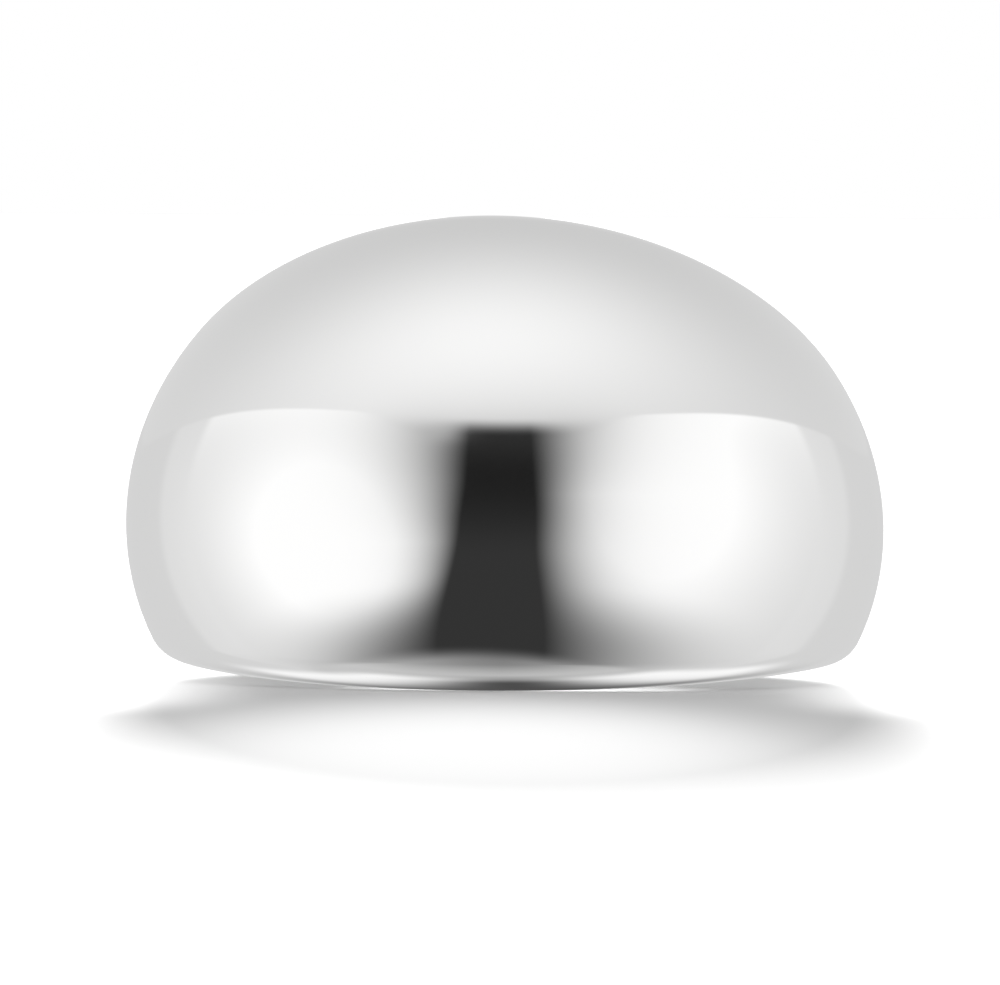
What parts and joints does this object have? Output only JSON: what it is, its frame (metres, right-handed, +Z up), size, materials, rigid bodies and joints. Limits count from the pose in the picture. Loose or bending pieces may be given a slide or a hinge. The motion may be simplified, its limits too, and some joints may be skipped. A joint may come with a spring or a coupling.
{
  "type": "dome ring",
  "caption": "Plain polished silver finger ring with a wide domed front that narrows to a slim shank, lying on its side.",
  "frame": {"origin": "on the table, centred under the ring's box as the ring lies on its side", "axes": "+Z up from the table, -Y out of the front where the dome faces, X across the finger hole; the hole's axis leans back from +Z towards +Y by 17.9 degrees"},
  "size_m": [0.0216, 0.0226, 0.0132],
  "materials": {
    "silver": "mirror polished sterling silver with faint wear scratches"
  },
  "bodies": {
    "root": {"dome_band": "silver"}
  },
  "joints": []
}
